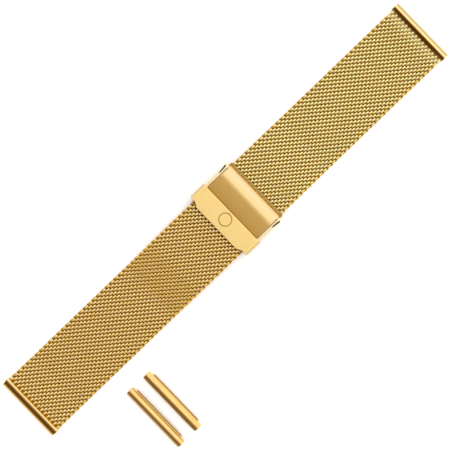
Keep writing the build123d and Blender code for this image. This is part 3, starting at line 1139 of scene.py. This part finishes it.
def turned_tube(node, material):
    """A bored tube made afresh in place of a CAD tube."""
    name = node + "_polished"
    low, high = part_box(node)
    centre = (low + high) / 2
    centre.x, radius = tube_axis(node)
    work = bmesh.new()
    lathe(work, centre, tube_profile(radius, LUG_BORE, (high.y - low.y) / 2, TUBE_EDGE))
    mesh = bpy.data.meshes.new(name)
    work.to_mesh(mesh)
    work.free()
    mesh.materials.append(material)
    mesh.shade_smooth()
    mesh.set_sharp_from_angle(angle=TUBE_EDGE_ANGLE)
    stand_for(link_object(name, mesh), node)


class BAND_OT_weave(bpy.types.Operator):
    """Weave both halves of the mesh"""

    bl_idname = "band.weave"
    bl_label = "Weave Mesh"

    def execute(self, context):
        weave_half("long")
        weave_half("short")
        return {"FINISHED"}


class BAND_OT_clasp(bpy.types.Operator):
    """Make the clasp's sheet parts with rounded edges"""

    bl_idname = "band.clasp"
    bl_label = "Make Clasp"

    def execute(self, context):
        for node, make, shape in (
            ("clasp_base", rubbed_gold, cut_flare_slots),
            ("short_end_clip", clip_gold, None),
            ("hook_plate", satin_gold, None),
            ("locking_flap", satin_gold, None),
            ("long_end_clip", satin_gold, None),
            ("cover_leaf", leaf_gold, round_crest),
            ("cover_plate", engraved_gold, round_folds),
        ):
            rounded_copy(node, "_sheet", gold(make), shape)
        return {"FINISHED"}


class BAND_OT_pins(bpy.types.Operator):
    """Make the pins and the catch bar"""

    bl_idname = "band.pins"
    bl_label = "Make Pins"

    def execute(self, context):
        for node in ("cover_hinge_pin", "flap_pin", "catch_bar"):
            rounded_copy(node, "_rod", gold(polished_gold))
        return {"FINISHED"}


class BAND_OT_lug_tubes(bpy.types.Operator):
    """Make the polished tubes at both lug ends"""

    bl_idname = "band.lug_tubes"
    bl_label = "Make Lug Tubes"

    def execute(self, context):
        for half in ("long", "short"):
            turned_tube(f"{half}_lug_tube", lug_gold(half))
        return {"FINISHED"}


class BAND_OT_loose_bars(bpy.types.Operator):
    """Make the loose ribbed bars beside the band"""

    bl_idname = "band.loose_bars"
    bl_label = "Make Loose Bars"

    def execute(self, context):
        for node in LOOSE_BARS:
            rounded_copy(node, "_polished", loose_bar_gold(node))
        return {"FINISHED"}


def world_light():
    """A plain white room."""
    world = bpy.data.worlds.new("white_room")
    world.use_nodes = True
    tree = world.node_tree
    tree.nodes.clear()
    back = output(tree, "ShaderNodeBackground", {"Color": rgba(WHITE), "Strength": 1.0})
    add_node(tree, "ShaderNodeOutputWorld", {"Surface": back})
    bpy.context.scene.world = world


def floor_material():
    """A matt white table top, a little paler to the camera and in reflections."""
    material, tree = bare_material("white_table")
    path = add_node(tree, "ShaderNodeLightPath").outputs
    seen = maths(tree, "MAXIMUM", path["Is Camera Ray"], path["Is Glossy Ray"])
    seen = maths(tree, "MAXIMUM", seen, path["Is Transmission Ray"])
    shade = maths(tree, "ADD", maths(tree, "MULTIPLY", seen, TABLE_GLOW), TABLE_SHADE)
    matt = output(tree, "ShaderNodeBsdfDiffuse", {"Color": shade})
    add_node(tree, "ShaderNodeOutputMaterial", {"Surface": matt})
    return material


def stage_piece(name, points, faces, material):
    """A piece of the stage, which isn't part of the band."""
    mesh = bpy.data.meshes.new(name)
    mesh.from_pydata(points, [], faces)
    mesh.materials.append(material)
    made = link_object(name, mesh)
    made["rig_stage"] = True
    return made


def table_top(stage):
    """The flat table that the band lies on."""
    half = stage.floor_size / 2
    corners = [(-half, -half, 0), (half, -half, 0), (half, half, 0), (-half, half, 0)]
    stage_piece("table_top", corners, [(0, 1, 2, 3)], floor_material())


def card_glow():
    """A glow in bands of (degrees from straight up, colour) about the Y axis."""
    material, tree = bare_material("dark_card")
    place = add_node(tree, "ShaderNodeSeparateXYZ", {0: object_place(tree)}).outputs
    tilt = maths(tree, "ARCTAN2", maths(tree, "MULTIPLY", place["X"], -1.0), place["Z"])
    share = maths(tree, "DIVIDE", tilt, math.pi / 2)
    bands = add_node(tree, "ShaderNodeValToRGB", {"Fac": share})
    ramp = bands.color_ramp
    ramp.elements.remove(ramp.elements[1])
    for degrees, tint in CARD_BANDS:
        ramp.elements.new(degrees / 90).color = rgba(tint)
    ramp.elements.remove(ramp.elements[0])
    inputs = {"Color": bands.outputs["Color"], "Strength": 1.0}
    glow = output(tree, "ShaderNodeEmission", inputs)
    add_node(tree, "ShaderNodeOutputMaterial", {"Surface": glow})
    return material


def dark_card():
    """A curved dark card over the -X side, which only reflections see, as in the photo's studio."""
    first, last = CARD_BANDS[0][0], CARD_BANDS[-1][0]
    steps = range(CARD_STEPS + 1)
    angles = [math.radians(first + (last - first) * step / CARD_STEPS) for step in steps]
    points = [
        (-CARD_RADIUS * math.sin(angle), side, CARD_RADIUS * math.cos(angle))
        for angle in angles
        for side in (-CARD_HALF_WIDTH, CARD_HALF_WIDTH)
    ]
    faces = [(2 * n, 2 * n + 1, 2 * n + 3, 2 * n + 2) for n in range(CARD_STEPS)]
    card = stage_piece("dark_card", points, faces, card_glow())
    for ray in ("camera", "diffuse", "shadow", "transmission", "volume_scatter"):
        setattr(card, f"visible_{ray}", False)


def softbox(stage):
    """One large soft light above the +X side."""
    light = bpy.data.lights.new("softbox", "AREA")
    light.shape = "DISK"
    light.size = 1.0
    light.energy = stage.key_power
    lamp = link_object("softbox", light)
    lamp.location = SOFTBOX_PLACE
    lamp.rotation_euler = Vector(lamp.location).to_track_quat("Z", "Y").to_euler()


def photo_camera(stage):
    """A long lens straight above the band, turned as the photograph is."""
    camera = bpy.data.cameras.new("photo_camera")
    camera.lens = stage.lens
    camera.sensor_width = SENSOR_WIDTH
    made = link_object("photo_camera", camera)
    distance = stage.view_width / 2 / math.tan(math.atan(SENSOR_WIDTH / 2 / stage.lens))
    turn = Matrix.Rotation(-stage.view_turn, 4, "Z")
    made.matrix_world = Matrix.Translation((stage.aim_x, stage.aim_y, distance)) @ turn
    bpy.context.scene.camera = made


class BAND_OT_stage(bpy.types.Operator):
    """Set the table, the light and the camera"""

    bl_idname = "band.stage"
    bl_label = "Set Stage"

    def execute(self, context):
        stage = context.scene.band_stage
        table_top(stage)
        world_light()
        dark_card()
        softbox(stage)
        photo_camera(stage)
        context.scene.view_settings.view_transform = "Standard"
        return {"FINISHED"}


class BAND_PT_panel(bpy.types.Panel):
    """Sizes, finishes and the steps that make the band"""

    bl_idname = "BAND_PT_panel"
    bl_label = "Watch Band"
    bl_space_type = "VIEW_3D"
    bl_region_type = "UI"
    bl_category = "Watch Band"

    def draw(self, context):
        for name, group in SETTINGS.items():
            for label in group.__annotations__:
                self.layout.prop(getattr(context.scene, name), label)
        for operator in OPERATORS:
            self.layout.operator(operator.bl_idname)


SETTINGS = {
    "band_weave": WeaveSettings, "band_finish": FinishSettings, "band_stage": StageSettings
}
OPERATORS = (
    BAND_OT_stage, BAND_OT_weave, BAND_OT_clasp, BAND_OT_pins, BAND_OT_lug_tubes,
    BAND_OT_loose_bars,
)


def register():
    """Adds the settings, the operators and the panel."""
    for name, group in SETTINGS.items():
        bpy.utils.register_class(group)
        setattr(bpy.types.Scene, name, PointerProperty(type=group))
    for operator in OPERATORS:
        bpy.utils.register_class(operator)
    bpy.utils.register_class(BAND_PT_panel)


def unregister():
    """Takes away the panel, the operators and the settings."""
    bpy.utils.unregister_class(BAND_PT_panel)
    for operator in reversed(OPERATORS):
        bpy.utils.unregister_class(operator)
    for name, group in SETTINGS.items():
        delattr(bpy.types.Scene, name)
        bpy.utils.unregister_class(group)


def write_sizes():
    """Gathers the CAD box and the finished model's box as lists, which it does not keep."""
    boxes = {"cad": CAD_BOX, "visual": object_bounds()}
    {name: [list(corner) for corner in box] for name, box in boxes.items()}


def main():
    """Makes the whole band and its stage."""
    register()
    bpy.ops.band.stage()
    bpy.ops.band.weave()
    bpy.ops.band.clasp()
    bpy.ops.band.pins()
    bpy.ops.band.lug_tubes()
    bpy.ops.band.loose_bars()
    write_sizes()


if __name__ == "__main__":
    main()
